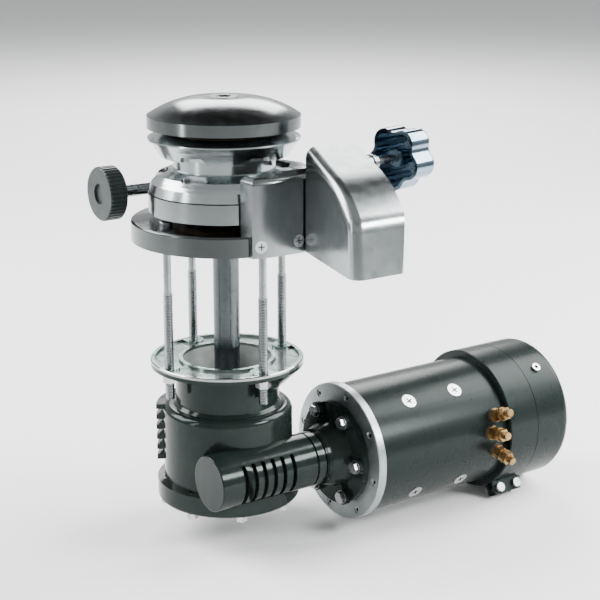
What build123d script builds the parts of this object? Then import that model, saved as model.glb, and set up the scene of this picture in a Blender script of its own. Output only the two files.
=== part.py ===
"""Vertical anchor windlass: deck unit, through-deck studs, worm gearbox and DC motor.

Frame: +Z up, deck face at z = 0, main shaft on the Z axis.
+X points to the chain hood, +Y runs along the worm and motor axis.
All sizes in millimetres.
"""

import os
from math import cos, radians, sin, sqrt

from build123d import *

os.makedirs("parts", exist_ok=True)

# ---------------------------------------------------------------- sizes
run = 0.08  # radial running clearance
gap = 0.3  # clearance between parts of different moving groups

base_r, base_h, tongue_h = 88.8, 19.0, 4.0
stud_ring_r, stud_r, stud_end = 64.0, 4.0, -150.0
shaft_r = 12.5

drum_r, drum_z0, drum_z1 = 67.0, 26.2, 44.4  # brake drum on the lower gypsy half
band_r = 71.8
neck_r, hub_r = 48.0, 19.7
cap_r = 71.7
pockets, pocket_ring_r = 6, 58.0

block_in, block_out, block_h = 77.0, 95.0, 72.0
brake_x, brake_z, brake_rod_r = -82.0, 37.0, 6.0
knob_r, knob_len, knob_face_y = 26.0, 18.0, -90.0

hood_wall, hood_front_x, hood_z0 = 3.5, 208.0, 0.8
pin_x, pin_z, pin_r = 108.0, 80.0, 4.0
star_x, star_y, star_z, star_turn = 114.0, 110.0, 80.0, 12.0  # hollow face centre, axis turn

flange_z, flange_r, flange_t = -118.25, 74.0, 6.5
neck_out, gear_r, gear_top, gear_bot = 50.3, 63.0, -165.0, -250.0
cover_r, cover_t, cover_bolt_r = 69.9, 10.0, 62.0
worm_x, worm_z, worm_house_r = 58.16, -219.1, 26.8
wheel_tip_r, wheel_teeth, wheel_w = 45.5, 48, 20.0

motor_r, motor_bore = 65.1, 57.0
motor_y0, motor_y1 = 100.0, 293.0
bell_r, bell_end = 72.4, 338.6
band_y0, band_y1 = 256.0, 293.0
pole_angles = [53, 143, 233, 323]
pole_rows = [148.5, 206.5]
terminals = [(22, 241), (8, 234), (-10, 242)]  # angle round the motor, y

# plane across the motor axis (x to +X, y to +Z) and the turning axis itself
axis_plane = Plane(origin=(worm_x, 0, worm_z), x_dir=(1, 0, 0), z_dir=(0, -1, 0))
turn_plane = Plane(origin=(worm_x, 0, worm_z), x_dir=(1, 0, 0), z_dir=(0, 0, 1))
turn_axis = Axis((worm_x, 0, worm_z), (0, 1, 0))


def across(y):
    """Plane across the motor axis at y, with its normal towards -Y."""
    return axis_plane.offset(-y)


def radial(angle, y, radius):
    """Plane at a radius from the motor axis, with its normal pointing outward."""
    out = Vector(cos(radians(angle)), 0, sin(radians(angle)))
    centre = Vector(worm_x, y, worm_z) + out * radius
    return Plane(origin=centre, x_dir=(0, 1, 0), z_dir=out)


def pin_plane(y):
    """Plane square to Y at y, with its normal towards +Y."""
    return Plane(origin=(0, y, 0), x_dir=(1, 0, 0), z_dir=(0, 1, 0))


def star_plane(distance):
    """Plane square to the star knob's axis, at a distance behind its hollow face."""
    s, c = sin(radians(star_turn)), cos(radians(star_turn))
    centre = (star_x - distance * s, star_y + distance * c, star_z)
    return Plane(origin=centre, x_dir=(c, s, 0), z_dir=(-s, c, 0))


# countersunk block screws: two in the base rim, two holding the stripper
rim_a = radians(-12.1)
screw_planes = [
    Plane(
        origin=(block_out * cos(rim_a), block_out * sin(rim_a), 10.3),
        x_dir=(0, 0, 1),
        z_dir=(cos(rim_a), sin(rim_a), 0),
    ),
    Plane(origin=(block_out, 19.2, 11.4), x_dir=(0, 0, 1), z_dir=(1, 0, 0)),
    Plane(origin=(84, 12, 76), x_dir=(1, 0, 0), z_dir=(0, 0, 1)),
    Plane(origin=(84, 28, 76), x_dir=(1, 0, 0), z_dir=(0, 0, 1)),
]

# ---------------------------------------------------------------- deck unit
# turned disc with a flat tongue running under the hood
with BuildPart() as deck_base:
    with BuildSketch(Plane.XY):
        Circle(base_r)
    extrude(amount=base_h)
    fillet(deck_base.edges().group_by(Axis.Z)[-1], 2.0)
    with BuildSketch(Plane.XY):
        with BuildLine():
            Polyline(
                (50, 46), (96.5, 46), (99.5, 31.5), (145.5, 31.5), (147, 23.5), (194, 11), (196, 47),
                (99.5, 68), (50, 68), (50, 46)
            )
        make_face()
    extrude(amount=tongue_h)
    with BuildSketch(Plane.XY):  # hawse hole down to the chain locker
        with Locations((163, 36)):
            SlotOverall(46, 29, rotation=-13)
    extrude(amount=tongue_h, mode=Mode.SUBTRACT)
    with BuildSketch(Plane.XY):  # shaft passage, bearing seat and seal seat
        Circle(shaft_r + 3)
    extrude(amount=base_h, mode=Mode.SUBTRACT)
    with BuildSketch(Plane.XY.offset(4)):
        Circle(23.5)
    extrude(amount=base_h, mode=Mode.SUBTRACT)
    with BuildSketch(Plane.XY):
        with PolarLocations(stud_ring_r, 4):
            Circle(stud_r)
    extrude(amount=base_h, mode=Mode.SUBTRACT)
    for place in screw_planes[:2]:
        with BuildSketch(place):
            Circle(2.5)
        extrude(amount=-22, mode=Mode.SUBTRACT)
deck_base.part.label = "deck_base"
export_step(deck_base.part, "parts/deck_base.step")

# sealed ball bearings, each drawn as one ring: in the base, the gear housing and the cover
with BuildPart() as shaft_bearings:
    with BuildSketch(Plane.XZ):
        for z in (4, -178, -257):
            with BuildLine():
                Polyline(
                    (shaft_r + run, z), (23.5, z), (23.5, z + 12), (20.5, z + 12), (20.5, z + 11.4),
                    (15.8, z + 11.4), (15.8, z + 12), (shaft_r + run, z + 12), (shaft_r + run, z)
                )
            make_face()
    revolve(axis=Axis.Z)
shaft_bearings.part.label = "shaft_bearings"
export_step(shaft_bearings.part, "parts/shaft_bearings.step")

# lip seals over the upper two bearings
with BuildPart() as shaft_seals:
    with BuildSketch(Plane.XZ):
        for z in (16, -166):
            with BuildLine():
                Polyline(
                    (shaft_r + run, z + 1.2), (16, z), (23.5, z), (23.5, z + 4.2), (17, z + 4.2),
                    (15, z + 2.8), (shaft_r + run, z + 2.8), (shaft_r + run, z + 1.2)
                )
            make_face()
    revolve(axis=Axis.Z)
shaft_seals.part.label = "shaft_seals"
export_step(shaft_seals.part, "parts/shaft_seals.step")

# ---------------------------------------------------------------- main shaft group
with BuildPart() as main_shaft:
    with BuildSketch(Plane.XZ):
        with BuildLine():
            Polyline(
                (0, -257), (11.7, -257), (shaft_r, -256.2), (shaft_r, 100.2), (11.5, 101.2),
                (11.5, 124), (10.5, 125), (0, 125), (0, -257)
            )
        make_face()
    revolve(axis=Axis.Z)
    with BuildSketch(Plane.XY.offset(24)):  # keyways: lower cone and worm wheel
        with Locations((12.5, 0)):
            Rectangle(7, 8)
    extrude(amount=14, mode=Mode.SUBTRACT)
    with BuildSketch(Plane.XY.offset(-229)):
        with Locations((12.5, 0)):
            Rectangle(7, 8)
    extrude(amount=20, mode=Mode.SUBTRACT)
main_shaft.part.label = "main_shaft"
export_step(main_shaft.part, "parts/main_shaft.step")

with BuildPart() as shaft_keys:
    for z, length in ((24, 14), (-229, 20)):
        with BuildSketch(Plane.XY.offset(z)):
            with Locations((12.25, 0)):
                Rectangle(6.5, 8)
        extrude(amount=length)
shaft_keys.part.label = "shaft_keys"
export_step(shaft_keys.part, "parts/shaft_keys.step")

with BuildPart() as clutch_cone_lower:
    with BuildSketch(Plane.XZ):
        with BuildLine():
            Polyline(
                (shaft_r, 21), (24, 21), (24, 23.5), (50, 23.5), (50, 24.6), (46.2, 37), (hub_r, 38),
                (hub_r, 84.5), (shaft_r, 84.5), (shaft_r, 21)
            )
        make_face()
    revolve(axis=Axis.Z)
    with BuildSketch(Plane.XY.offset(24)):
        with Locations((12.25, 0)):
            Rectangle(6.5, 8)
    extrude(amount=14, mode=Mode.SUBTRACT)
clutch_cone_lower.part.label = "clutch_cone_lower"
export_step(clutch_cone_lower.part, "parts/clutch_cone_lower.step")

with BuildPart() as clutch_cone_upper:
    with BuildSketch(Plane.XZ):
        with BuildLine():
            Polyline(
                (shaft_r + run, 86.6), (46.9, 86.6), (51.2, 99.6), (51.2, 101), (shaft_r + run, 101),
                (shaft_r + run, 86.6)
            )
        make_face()
    revolve(axis=Axis.Z)
clutch_cone_upper.part.label = "clutch_cone_upper"
export_step(clutch_cone_upper.part, "parts/clutch_cone_upper.step")

# cap nut with a low domed cone; screws on the top of the main shaft
with BuildPart() as clutch_cap:
    with BuildSketch(Plane.XZ):
        with BuildLine():
            Polyline(
                (11.5 + run, 126), (11.5 + run, 101.3), (57, 101.3), (cap_r, 105), (cap_r, 116)
            )
            ThreePointArc((cap_r, 116), (50.5, 126.9), (25, 132.5))
            Polyline((25, 132.5), (14, 132.5), (14, 126), (11.5 + run, 126))
        make_face()
    revolve(axis=Axis.Z)
clutch_cap.part.label = "clutch_cap"
export_step(clutch_cap.part, "parts/clutch_cap.step")

# insert with an eight-pointed socket for the lever handle
with BuildPart() as cap_socket:
    with BuildSketch(Plane.XY.offset(126)):
        Circle(14)
    extrude(amount=6.9)
    with BuildSketch(Plane.XY.offset(128)):
        Rectangle(12, 12)
        Rectangle(12, 12, rotation=45)
    extrude(amount=6, mode=Mode.SUBTRACT)
cap_socket.part.label = "cap_socket"
export_step(cap_socket.part, "parts/cap_socket.step")

# ---------------------------------------------------------------- gypsy
with BuildPart() as gypsy_lower:
    with BuildSketch(Plane.XZ):
        with BuildLine():
            Polyline(
                (49.9, drum_z0), (drum_r, drum_z0), (drum_r, 44.9), (71.0, 44.9), (71.6, 45.6),
                (68.7, 54), (65.6, 57.2), (62.6, 62), (50.5, 67),
                (hub_r + gap, 67), (hub_r + gap, 38.4), (46.2, 38.4), (49.9, drum_z0)
            )
        make_face()
    revolve(axis=Axis.Z)
    with BuildSketch(Plane.XY.offset(61)):  # link pockets round the cone
        with PolarLocations(pocket_ring_r, pockets):
            SlotOverall(26, 11, rotation=90)
    extrude(amount=30, mode=Mode.SUBTRACT)
    with BuildSketch(Plane.XY.offset(62)):
        with PolarLocations(34, 6, start_angle=30):
            Circle(3)
    extrude(amount=6, mode=Mode.SUBTRACT)
gypsy_lower.part.label = "gypsy_lower"
export_step(gypsy_lower.part, "parts/gypsy_lower.step")

# spacer that sets the width of the chain groove
with BuildPart() as gypsy_neck:
    with BuildSketch(Plane.XY.offset(67)):
        Circle(neck_r)
        Circle(hub_r + gap, mode=Mode.SUBTRACT)
        with PolarLocations(34, 6, start_angle=30):
            Circle(3, mode=Mode.SUBTRACT)
    extrude(amount=12)
gypsy_neck.part.label = "gypsy_neck"
export_step(gypsy_neck.part, "parts/gypsy_neck.step")

with BuildPart() as gypsy_upper:
    with BuildSketch(Plane.XZ):
        with BuildLine():
            Polyline(
                (hub_r + gap, 79), (60, 79), (67, 89), (71.4, 94.6), (71.2, 95.8), (57, 100.4),
                (51.85, 100.4), (47.3, 86.2), (hub_r + gap, 86.2), (hub_r + gap, 79)
            )
        make_face()
    revolve(axis=Axis.Z)
    with BuildSketch(Plane.XY.offset(78)):
        with PolarLocations(pocket_ring_r, pockets):
            SlotOverall(26, 11, rotation=90)
    extrude(amount=7, mode=Mode.SUBTRACT)
    with BuildSketch(Plane.XY.offset(79)):
        with PolarLocations(34, 6, start_angle=30):
            Circle(3)
    extrude(amount=8, mode=Mode.SUBTRACT)
    with BuildSketch(Plane.XY.offset(82)):
        with PolarLocations(34, 6, start_angle=30):
            Circle(5)
    extrude(amount=8, mode=Mode.SUBTRACT)
gypsy_upper.part.label = "gypsy_upper"
export_step(gypsy_upper.part, "parts/gypsy_upper.step")

with BuildPart() as gypsy_screws:
    with BuildSketch(Plane.XY.offset(62)):
        with PolarLocations(34, 6, start_angle=30):
            Circle(3)
    extrude(amount=20)
    with BuildSketch(Plane.XY.offset(82)):
        with PolarLocations(34, 6, start_angle=30):
            Circle(5)
            RegularPolygon(2.3, 6, mode=Mode.SUBTRACT)
    extrude(amount=4)
    with BuildSketch(Plane.XY.offset(82)):
        with PolarLocations(34, 6, start_angle=30):
            Circle(5)
    extrude(amount=1.6)
gypsy_screws.part.label = "gypsy_screws"
export_step(gypsy_screws.part, "parts/gypsy_screws.step")

# ---------------------------------------------------------------- band brake
# two steel straps with a thin seam, open at -X between the lugs
with BuildPart() as brake_band:
    with BuildSketch(Plane.XY.offset(drum_z0)):
        Circle(band_r)
        Circle(69.6, mode=Mode.SUBTRACT)
        with BuildLine():
            Polyline((0, 0), (-80, -11.5), (-80, 11.5), (0, 0))
        make_face(mode=Mode.SUBTRACT)
        with BuildLine():
            Polyline((0, 0), (-11.6, -79), (-10.4, -79), (0, 0))
        make_face(mode=Mode.SUBTRACT)
    extrude(amount=drum_z1 - drum_z0)
brake_band.part.label = "brake_band"
export_step(brake_band.part, "parts/brake_band.step")

with BuildPart() as brake_lining:
    with BuildSketch(Plane.XY.offset(drum_z0)):
        Circle(69.6)
        Circle(drum_r + gap, mode=Mode.SUBTRACT)
        with BuildLine():
            Polyline((0, 0), (-80, -13), (-80, 13), (0, 0))
        make_face(mode=Mode.SUBTRACT)
    extrude(amount=drum_z1 - drum_z0)
brake_lining.part.label = "brake_lining"
export_step(brake_lining.part, "parts/brake_lining.step")

# lug on each strap end; the rod passes one and screws into the other
with BuildPart() as brake_lugs:
    with BuildSketch(Plane.XY.offset(28)):
        with Locations((-81, -16), (-81, 16)):
            Rectangle(24, 8)
        Circle(band_r, mode=Mode.SUBTRACT)
    extrude(amount=16)
    with BuildSketch(pin_plane(-30)):
        with Locations((brake_x, -brake_z)):
            Circle(brake_rod_r + run)
    extrude(amount=60, mode=Mode.SUBTRACT)
    fillet(brake_lugs.edges().filter_by(Axis.Y).group_by(Axis.X)[0], 3)
brake_lugs.part.label = "brake_lugs"
export_step(brake_lugs.part, "parts/brake_lugs.step")

with BuildPart() as brake_anchor:
    with BuildSketch(Plane.XY.offset(base_h)):
        with PolarLocations(77.5, 1, start_angle=125):
            Rectangle(13, 16)
        Circle(band_r, mode=Mode.SUBTRACT)
    extrude(amount=21)
brake_anchor.part.label = "brake_anchor"
export_step(brake_anchor.part, "parts/brake_anchor.step")

with BuildPart() as brake_screw:
    with BuildSketch(pin_plane(-84)):
        with Locations((brake_x, -brake_z)):
            Circle(brake_rod_r)
    extrude(amount=112)
    with BuildSketch(pin_plane(-28.5)):
        with Locations((brake_x, -brake_z)):
            Circle(8)
    extrude(amount=5)
    chamfer(brake_screw.edges().group_by(Axis.Y)[-1], 1)
brake_screw.part.label = "brake_screw"
export_step(brake_screw.part, "parts/brake_screw.step")

with BuildPart() as brake_collar:
    with BuildSketch(pin_plane(-23.3)):
        with Locations((brake_x, -brake_z)):
            Circle(9)
            Circle(brake_rod_r + run, mode=Mode.SUBTRACT)
    extrude(amount=3.1)
brake_collar.part.label = "brake_collar"
export_step(brake_collar.part, "parts/brake_collar.step")

# knurled hand knob with a recessed face
with BuildPart() as brake_knob:
    with BuildSketch(pin_plane(knob_face_y)):
        with Locations((brake_x, -brake_z)):
            Circle(knob_r)
    extrude(amount=knob_len)
    chamfer(brake_knob.edges(), 1.5)
    with BuildSketch(pin_plane(knob_face_y)):
        with Locations((brake_x, -brake_z)):
            with PolarLocations(knob_r, 40):
                Circle(1.15)
    extrude(amount=knob_len, mode=Mode.SUBTRACT)
    with BuildSketch(pin_plane(knob_face_y)):
        with Locations((brake_x, -brake_z)):
            Circle(10)
    extrude(amount=2.5, mode=Mode.SUBTRACT)
    with BuildSketch(pin_plane(-84)):
        with Locations((brake_x, -brake_z)):
            Circle(brake_rod_r)
    extrude(amount=20, mode=Mode.SUBTRACT)
    with BuildSketch(pin_plane(knob_face_y + knob_len)):
        with Locations((brake_x, -brake_z)):
            Circle(11)
            Circle(brake_rod_r, mode=Mode.SUBTRACT)
    extrude(amount=5)
brake_knob.part.label = "brake_knob"
export_step(brake_knob.part, "parts/brake_knob.step")

# ---------------------------------------------------------------- chain block and stripper
end_in = sqrt(block_in**2 - 28**2)
end_out = sqrt(block_out**2 - 28**2)
far_in = sqrt(block_in**2 - 42**2)
stripper_plan = [(78, 4), (90, 4), (90, 36), (62, 44), (40, 35.5), (38.5, 31.5), (62, 32), (78, 20), (78, 4)]

# guard that stands on the base, wraps its rim and carries the stripper
with BuildPart() as chain_block:
    with BuildSketch(Plane.XY):
        with BuildLine():
            ThreePointArc(
                (end_out, -28),
                (block_out * cos(radians(8.5)), -block_out * sin(radians(8.5))),
                (block_out, 0),
            )
            Polyline((block_out, 0), (block_out, 42), (far_in, 42))
            ThreePointArc((far_in, 42), (block_in, 0), (end_in, -28))
            Line((end_in, -28), (end_out, -28))
        make_face()
    extrude(amount=block_h)
    outer = chain_block.edges().group_by(Axis.Z)[-1].filter_by(lambda e: e.center().X > 80.5)
    fillet(outer, 6.5)
    with BuildSketch(Plane.XY):
        Circle(base_r)
    extrude(amount=base_h, mode=Mode.SUBTRACT)
    with BuildSketch(Plane.XY.offset(70)):
        with BuildLine():
            Polyline(*stripper_plan)
        make_face()
    extrude(amount=10, mode=Mode.SUBTRACT)
    for place in screw_planes[:2]:
        with BuildSketch(place):
            Circle(5.8)
        extrude(amount=-3.3, taper=40, mode=Mode.SUBTRACT)
        with BuildSketch(place):
            Circle(2.5)
        extrude(amount=-22, mode=Mode.SUBTRACT)
    for place in screw_planes[2:]:
        with BuildSketch(place):
            Circle(2.5)
        extrude(amount=-22, mode=Mode.SUBTRACT)
chain_block.part.label = "chain_block"
export_step(chain_block.part, "parts/chain_block.step")

with BuildPart() as block_screws:
    for place in screw_planes:
        with BuildSketch(place):
            Circle(5.8)
        extrude(amount=-3.3, taper=40)
        with BuildSketch(place):
            Circle(2.5)
        extrude(amount=-22)
        with BuildSketch(place):
            Rectangle(6, 1.1)
            Rectangle(1.1, 6)
        extrude(amount=-1.8, mode=Mode.SUBTRACT)
block_screws.part.label = "block_screws"
export_step(block_screws.part, "parts/block_screws.step")

# finger that reaches into the chain groove and lifts the chain off
with BuildPart() as chain_stripper:
    with BuildSketch(Plane.XY.offset(70)):
        with BuildLine():
            Polyline(*stripper_plan)
        make_face()
    extrude(amount=6)
    for place in screw_planes[2:]:
        with BuildSketch(place):
            Circle(5.8)
        extrude(amount=-3.3, taper=40, mode=Mode.SUBTRACT)
        with BuildSketch(place):
            Circle(2.5)
        extrude(amount=-22, mode=Mode.SUBTRACT)
chain_stripper.part.label = "chain_stripper"
export_step(chain_stripper.part, "parts/chain_stripper.step")

# ---------------------------------------------------------------- chain hood
# hollow core: side profile in x and z, cut to a plan with rounded front corners
with BuildPart() as hood_core:
    with BuildSketch(Plane.XY.offset(-1)) as core_plan:
        with BuildLine():
            Polyline((90, 30.4), (206.6, 0.8), (204.4, 50.4), (90, 75.9), (90, 30.4))
        make_face()
        fillet(core_plan.vertices().sort_by(Axis.X)[-2:], 10)
    extrude(amount=110)
    with BuildSketch(Plane.XZ.offset(-100)):
        with BuildLine():
            Polyline((hood_front_x - hood_wall, -1), (90, -1), (90, 94.6), (143, 79.6))
            Spline(
                (143, 79.6), (175.8, 67), (193.2, 53.8), (201.3, 39),
                tangents=[(3.6, -1), (0.07, -1)]
            )
            Line((201.3, 39), (hood_front_x - hood_wall, -1))
        make_face()
    extrude(amount=120, mode=Mode.INTERSECT)
    top = hood_core.edges().filter_by(lambda e: e.center().Z > 45 and e.center().Y < 31)
    fillet(top.filter_by(lambda e: e.center().X > 100 and e.length > 25), 5)

with BuildPart() as chain_hood:
    with BuildSketch(Plane.XY.offset(hood_z0)) as hood_plan:
        with BuildLine():
            Polyline((97, 25), (212.5, -4.4), (208.3, 53.5), (97, 78), (97, 25))
        make_face()
        fillet(hood_plan.vertices().sort_by(Axis.X)[-2:], 13)
    extrude(amount=110)
    with BuildSketch(Plane.XZ.offset(-100)):
        with BuildLine():
            Polyline((hood_front_x, hood_z0), (90, hood_z0), (90, 98.2), (143.6, 83.1))
            Spline(
                (143.6, 83.1), (177.8, 70), (196.2, 56), (204.8, 39.5),
                tangents=[(3.6, -1), (0.07, -1)]
            )
            Line((204.8, 39.5), (hood_front_x, hood_z0))
        make_face()
    extrude(amount=120, mode=Mode.INTERSECT)
    top = chain_hood.edges().filter_by(lambda e: e.center().Z > 45 and e.center().Y < 28)
    fillet(top.filter_by(lambda e: e.center().X > 100 and e.length > 25), 9)
    add(hood_core.part, mode=Mode.SUBTRACT)
    # hinge bosses on the inside, screw boss on the outside
    with BuildSketch(pin_plane(24.6)):
        with Locations((pin_x, -pin_z)):
            Circle(7)
    extrude(amount=5.6)
    with BuildSketch(pin_plane(69.9)):
        with Locations((pin_x, -pin_z)):
            Circle(7)
    extrude(amount=3.4)
    with BuildSketch(star_plane(-41.6)):
        Circle(7)
    extrude(amount=8.6)
    with BuildSketch(pin_plane(26.2)):
        with Locations((pin_x, -pin_z)):
            Circle(pin_r)
    extrude(amount=46.5, mode=Mode.SUBTRACT)
    with BuildSketch(star_plane(-52)):
        Circle(pin_r + run)
    extrude(amount=20, mode=Mode.SUBTRACT)
chain_hood.part.label = "chain_hood"
export_step(chain_hood.part, "parts/chain_hood.step")

# two posts under the hood: hinge eyes, and the pad the clamp screw bears on
with BuildPart() as hood_bracket:
    with BuildSketch(Plane.XY.offset(tongue_h)):
        with Locations((109, 50)):
            Rectangle(18, 34)
    extrude(amount=3)
    for y in (30.5, 64.6):
        with BuildSketch(pin_plane(y)):
            with Locations((pin_x, -(tongue_h + pin_z) / 2)):
                Rectangle(14, pin_z - tongue_h)
            with Locations((pin_x, -pin_z)):
                Circle(7)
            with Locations((pin_x, -pin_z)):
                Circle(pin_r + run, mode=Mode.SUBTRACT)
        extrude(amount=5)
    with BuildSketch(pin_plane(60)):
        with Locations((115.5, -74.5)):
            Rectangle(29, 9)
        with Locations((pin_x, -pin_z)):
            Circle(5, mode=Mode.SUBTRACT)
    extrude(amount=4.6)
    with BuildSketch(star_plane(-45.5)):
        Rectangle(12, 6)
    extrude(amount=-4)
hood_bracket.part.label = "hood_bracket"
export_step(hood_bracket.part, "parts/hood_bracket.step")

with BuildPart() as hood_hinge_pins:
    for y, length in ((26.2, 9.3), (64.6, 8.1)):
        with BuildSketch(pin_plane(y)):
            with Locations((pin_x, -pin_z)):
                Circle(pin_r)
        extrude(amount=length)
hood_hinge_pins.part.label = "hood_hinge_pins"
export_step(hood_hinge_pins.part, "parts/hood_hinge_pins.step")

with BuildPart() as star_knob_spindle:
    with BuildSketch(star_plane(-45.3)):
        Circle(pin_r)
    extrude(amount=59.2)
    with BuildSketch(star_plane(-30.4)):
        Circle(6.5)
    extrude(amount=5)
star_knob_spindle.part.label = "star_knob_spindle"
export_step(star_knob_spindle.part, "parts/star_knob_spindle.step")

with BuildPart() as star_knob_washer:
    with BuildSketch(star_plane(-32.8)):
        Circle(8)
        Circle(pin_r + run, mode=Mode.SUBTRACT)
    extrude(amount=2)
star_knob_washer.part.label = "star_knob_washer"
export_step(star_knob_washer.part, "parts/star_knob_washer.step")

# five-lobed pressed knob, hollow on the side facing the hood
with BuildPart() as star_knob:
    with BuildSketch(star_plane(0)) as star:
        Circle(21)
        with PolarLocations(17.5, 5, start_angle=18):
            Circle(12.5)
        fillet(star.vertices(), 9)
    extrude(amount=28)
    fillet(star_knob.edges().group_by(Axis.Y)[-1], 6)
    with BuildSketch(star_plane(0)) as hollow:
        Circle(18)
        with PolarLocations(15.5, 5, start_angle=18):
            Circle(11)
        fillet(hollow.vertices(), 7)
    extrude(amount=20, mode=Mode.SUBTRACT)
    with BuildSketch(star_plane(4)):
        Circle(8)
    extrude(amount=20)
    with BuildSketch(star_plane(0)):
        Circle(pin_r)
    extrude(amount=13.9, mode=Mode.SUBTRACT)
star_knob.part.label = "star_knob"
export_step(star_knob.part, "parts/star_knob.step")

# ---------------------------------------------------------------- through-deck studs
with BuildPart() as deck_studs:
    with BuildSketch(Plane.XY.offset(base_h)):  # low domed heads on the base
        with PolarLocations(stud_ring_r, 4):
            Circle(6.5)
    extrude(amount=4)
    fillet(deck_studs.edges().group_by(Axis.Z)[-1], 1.5)
    with BuildSketch(Plane.XY):
        with PolarLocations(stud_ring_r, 4):
            Circle(stud_r)
    extrude(amount=base_h)
    with BuildSketch(Plane.XY):
        with PolarLocations(stud_ring_r, 4):
            Circle(stud_r - 0.35)
    extrude(amount=-46)
    with BuildSketch(Plane.XY.offset(-46)):
        with PolarLocations(stud_ring_r, 4):
            Circle(stud_r)
    extrude(amount=stud_end + 46)
    chamfer(deck_studs.edges().group_by(Axis.Z)[0], 0.8)
deck_studs.part.label = "deck_studs"
export_step(deck_studs.part, "parts/deck_studs.step")

with BuildPart() as stud_washers:
    with BuildSketch(Plane.XY.offset(flange_z - flange_t)):
        with PolarLocations(stud_ring_r, 4):
            Circle(8)
            Circle(stud_r, mode=Mode.SUBTRACT)
    extrude(amount=-1.6)
stud_washers.part.label = "stud_washers"
export_step(stud_washers.part, "parts/stud_washers.step")

with BuildPart() as stud_nuts:
    with BuildSketch(Plane.XY.offset(flange_z - flange_t - 1.6)):
        with PolarLocations(stud_ring_r, 4):
            RegularPolygon(7.5, 6)
            Circle(stud_r, mode=Mode.SUBTRACT)
    extrude(amount=-6.5)
stud_nuts.part.label = "stud_nuts"
export_step(stud_nuts.part, "parts/stud_nuts.step")

# ---------------------------------------------------------------- gearbox
with BuildPart() as gearbox_neck:
    with BuildSketch(Plane.XZ):  # mounting flange over a plain neck
        with BuildLine():
            Polyline(
                (43, flange_z), (flange_r - 0.8, flange_z), (flange_r, flange_z - 0.8),
                (flange_r, flange_z - flange_t), (neck_out, flange_z - flange_t), (neck_out, -162),
                (53, gear_top), (43, gear_top), (43, flange_z)
            )
        make_face()
    revolve(axis=Axis.Z)
    with BuildSketch(Plane.XZ):  # cone under the flange on the motor side
        with BuildLine():
            Polyline(
                (49, flange_z - flange_t), (flange_r, flange_z - flange_t), (neck_out, -148), (49, -148),
                (49, flange_z - flange_t)
            )
        make_face()
    revolve(axis=Axis.Z, revolution_arc=90)
    with BuildSketch(Plane.XY.offset(flange_z)):  # relieved ring, with pads at the studs
        Circle(70)
        Circle(47, mode=Mode.SUBTRACT)
        with PolarLocations(stud_ring_r, 4):
            Circle(10, mode=Mode.SUBTRACT)
    extrude(amount=-2.5, mode=Mode.SUBTRACT)
    with BuildSketch(Plane.XY.offset(flange_z)):
        with PolarLocations(stud_ring_r, 4):
            Circle(stud_r)
    extrude(amount=-flange_t, mode=Mode.SUBTRACT)
    with BuildSketch(Plane.XY.offset(flange_z - flange_t)):  # pockets for nuts in the cone
        with PolarLocations(stud_ring_r, 4):
            Circle(8.6)
    extrude(amount=-26, mode=Mode.SUBTRACT)
gearbox_neck.part.label = "gearbox_neck"
export_step(gearbox_neck.part, "parts/gearbox_neck.step")

with BuildPart() as gear_housing:
    with BuildSketch(Plane.XZ):  # spigot inside the neck, shoulder, barrel, bottom flange
        with BuildLine():
            Polyline((0, -160), (43, -160), (43, gear_top), (56, gear_top))
            ThreePointArc((56, gear_top), (60.95, gear_top - 2.05), (gear_r, gear_top - 7))
            Polyline(
                (gear_r, gear_top - 7), (gear_r, -240), (cover_r, -240), (cover_r, gear_bot),
                (0, gear_bot), (0, -160)
            )
        make_face()
    revolve(axis=Axis.Z)
    for i in range(6):  # cooling ribs on the side away from the worm
        with BuildSketch(Plane.XY.offset(-172 - 10.4 * i)):
            Circle(70)
            with BuildLine():
                Polyline((0, 0), (-110, 4), (-110, -70), (-62, -106), (0, 0))
            make_face(mode=Mode.INTERSECT)
            Circle(60, mode=Mode.SUBTRACT)
        extrude(amount=5)
    with BuildSketch(across(-54.6)):  # worm tunnel
        Circle(worm_house_r)
    extrude(amount=-(62 + 54.6))
    for y in (-32, -21.3, -10.7, 0, 10.6, 22):  # slots between the tunnel fins
        with BuildSketch(across(y - 2.2)):
            with Locations((20, -1)):
                Rectangle(34, 39)
            Circle(worm_house_r - 5.5, mode=Mode.SUBTRACT)
        extrude(amount=-4.4, mode=Mode.SUBTRACT)
    for y in (49.6, 59.5):
        with BuildSketch(across(y - 1)):
            Circle(worm_house_r + 1)
            Circle(worm_house_r - 2, mode=Mode.SUBTRACT)
        extrude(amount=-2, mode=Mode.SUBTRACT)
    with BuildSketch(Plane.XY.offset(-160)):  # seal and bearing seat
        Circle(23.5)
    extrude(amount=-18, mode=Mode.SUBTRACT)
    with BuildSketch(Plane.XY.offset(-178)):
        Circle(18)
    extrude(amount=-10, mode=Mode.SUBTRACT)
    with BuildSketch(Plane.XY.offset(-186)):  # wheel chamber
        Circle(54)
    extrude(amount=gear_bot + 186, mode=Mode.SUBTRACT)
    with BuildSketch(across(-54.6)):  # worm bore
        Circle(16)
    extrude(amount=-(62 + 54.6), mode=Mode.SUBTRACT)
    with BuildSketch(Plane.XY.offset(gear_bot)):
        with PolarLocations(cover_bolt_r, 8, start_angle=24):
            Circle(3)
    extrude(amount=12, mode=Mode.SUBTRACT)
gear_housing.part.label = "gear_housing"
export_step(gear_housing.part, "parts/gear_housing.step")

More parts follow.
